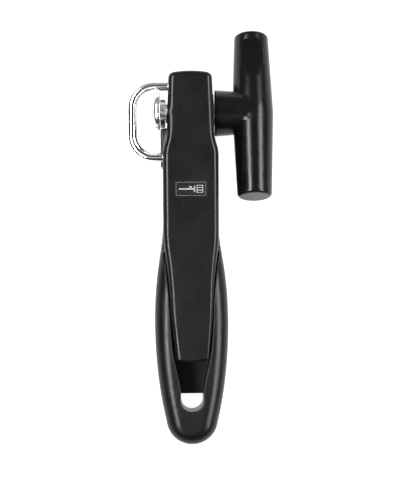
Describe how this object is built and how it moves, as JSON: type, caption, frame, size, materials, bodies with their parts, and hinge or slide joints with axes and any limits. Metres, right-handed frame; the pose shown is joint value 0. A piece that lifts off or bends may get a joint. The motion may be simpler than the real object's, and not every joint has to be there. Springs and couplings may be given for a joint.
{
  "type": "manual can opener",
  "caption": "Hand can opener with a moulded grip, a front lever that carries a cutting disc and a wire guide loop, and a T-shaped turning knob that drives a toothed feed wheel.",
  "frame": {"origin": "on the flat back face, straight below the drive shaft's axis, on the handle's centre plane", "axes": "+X towards the turning knob, +Y towards the head, +Z away from the back face"},
  "size_m": [0.0727, 0.2075, 0.0431],
  "materials": {
    "black_plastic": "satin, fine moulded texture",
    "knob_plastic": "satin",
    "badge": "smooth, thin light outline",
    "chrome": "polished",
    "steel": "plain",
    "hard_steel": "hardened, machined",
    "bronze": "turned"
  },
  "bodies": {
    "handle": {"handle_shell": "black_plastic", "rear_cover": "black_plastic", "cover_screws": "steel", "frame_bracket": "steel", "shaft_bush_left": "bronze", "shaft_bush_right": "bronze"},
    "lever": {"lever_cover": "black_plastic", "badge_plate": "badge", "lever_plate": "steel", "lever_plate_screws": "steel", "guide_bail": "chrome", "cutter_axle": "steel", "cutter_spacer": "steel"},
    "cutter": {"cutter_wheel": "chrome", "cutter_bush": "bronze"},
    "knob": {"knob_tee": "knob_plastic", "knob_pin": "steel", "drive_shaft": "steel", "feed_wheel": "hard_steel", "feed_wheel_screw": "steel", "thrust_washer": "steel"}
  },
  "joints": [
    {"name": "lever_lift", "type": "hinge", "parent": "handle", "child": "lever", "pos_m": [0, 0.013, 0.0272], "axis": [-1, 0, 0], "range_deg": [0, 28]},
    {"name": "cutter_spin", "type": "hinge", "parent": "lever", "child": "cutter", "pos_m": [-0.0168, 0, 0.0339], "axis": [1, 0, 0], "continuous": true},
    {"name": "knob_spin", "type": "hinge", "parent": "handle", "child": "knob", "pos_m": [0, 0, 0.0195], "axis": [1, 0, 0], "continuous": true}
  ]
}
